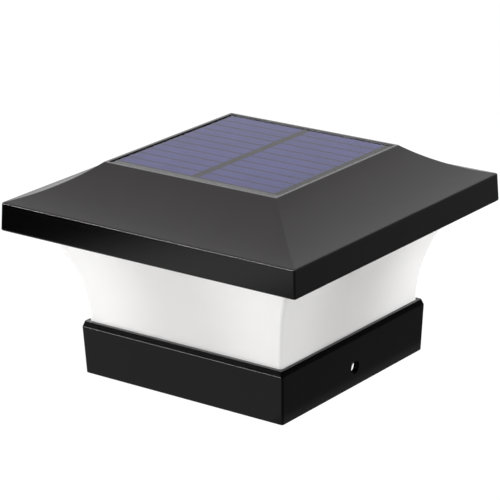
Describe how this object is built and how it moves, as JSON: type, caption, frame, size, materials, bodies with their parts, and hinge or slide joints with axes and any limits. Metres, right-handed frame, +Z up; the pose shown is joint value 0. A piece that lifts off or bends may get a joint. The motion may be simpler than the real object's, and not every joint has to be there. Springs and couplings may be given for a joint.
{
  "type": "solar post cap light",
  "caption": "Square solar light that caps a post: hipped roof with a solar panel, flared white shade and an open square skirt.",
  "frame": {"origin": "middle of the skirt's open bottom edge, where the light rests on a flat surface", "axes": "+Z up; +X out through a side of the skirt that has a post screw hole; +Y completes the right hand"},
  "size_m": [0.157, 0.157, 0.0973],
  "materials": {
    "black_plastic": "satin",
    "shade_plastic": "frosted",
    "white_plastic": "satin",
    "panel_clear": "clear gloss",
    "panel_back": "matte",
    "silicon": "dark blue polycrystalline",
    "foam": "foam",
    "seal_rubber": "matte",
    "screw_steel": "zinc plated",
    "contact_steel": "nickel plated",
    "board_white": "white solder mask",
    "led_phosphor": "phosphor",
    "chip_black": "moulded",
    "ferrite": "sintered",
    "can_aluminium": "bare",
    "ceramic": "fired",
    "switch_plastic": "moulded",
    "button_plastic": "satin",
    "cell_wrap": "shrink sleeve",
    "lead_red": "insulated",
    "lead_black": "insulated"
  },
  "bodies": {
    "lamp": {"roof_shell": "black_plastic", "panel_resin": "panel_clear", "solar_cells": "silicon", "panel_board": "panel_back", "panel_adhesive": "foam", "panel_lead_red": "lead_red", "panel_lead_black": "lead_black", "lead_seal": "seal_rubber", "soffit_plate": "black_plastic", "soffit_screws": "screw_steel", "shade": "shade_plastic", "shade_seal": "seal_rubber", "lamp_plate": "white_plastic", "lamp_plate_screws": "screw_steel", "led_board": "board_white", "led_chips": "led_phosphor", "driver_chip": "chip_black", "inductor": "ferrite", "capacitor": "can_aluminium", "small_parts": "ceramic", "board_screws": "screw_steel", "switch_body": "switch_plastic", "battery_holder": "white_plastic", "battery_cell": "cell_wrap", "battery_contact_positive": "contact_steel", "battery_contact_negative": "contact_steel", "battery_lead_red": "lead_red", "battery_lead_black": "lead_black", "door_hinge_pin": "contact_steel", "skirt": "black_plastic", "skirt_screws": "screw_steel"},
    "button": {"power_button": "button_plastic"},
    "door": {"battery_door": "white_plastic"}
  },
  "joints": [
    {"name": "power_press", "type": "slide", "parent": "lamp", "child": "button", "axis": [0, 0, 1], "range_m": [0, 0.0015], "stiffness_N_per_m": 300, "springref_m": -0.001},
    {"name": "door_swing", "type": "hinge", "parent": "lamp", "child": "door", "pos_m": [0, 0.0434, 0.073], "axis": [1, 0, 0], "range_deg": [0, 85]}
  ]
}
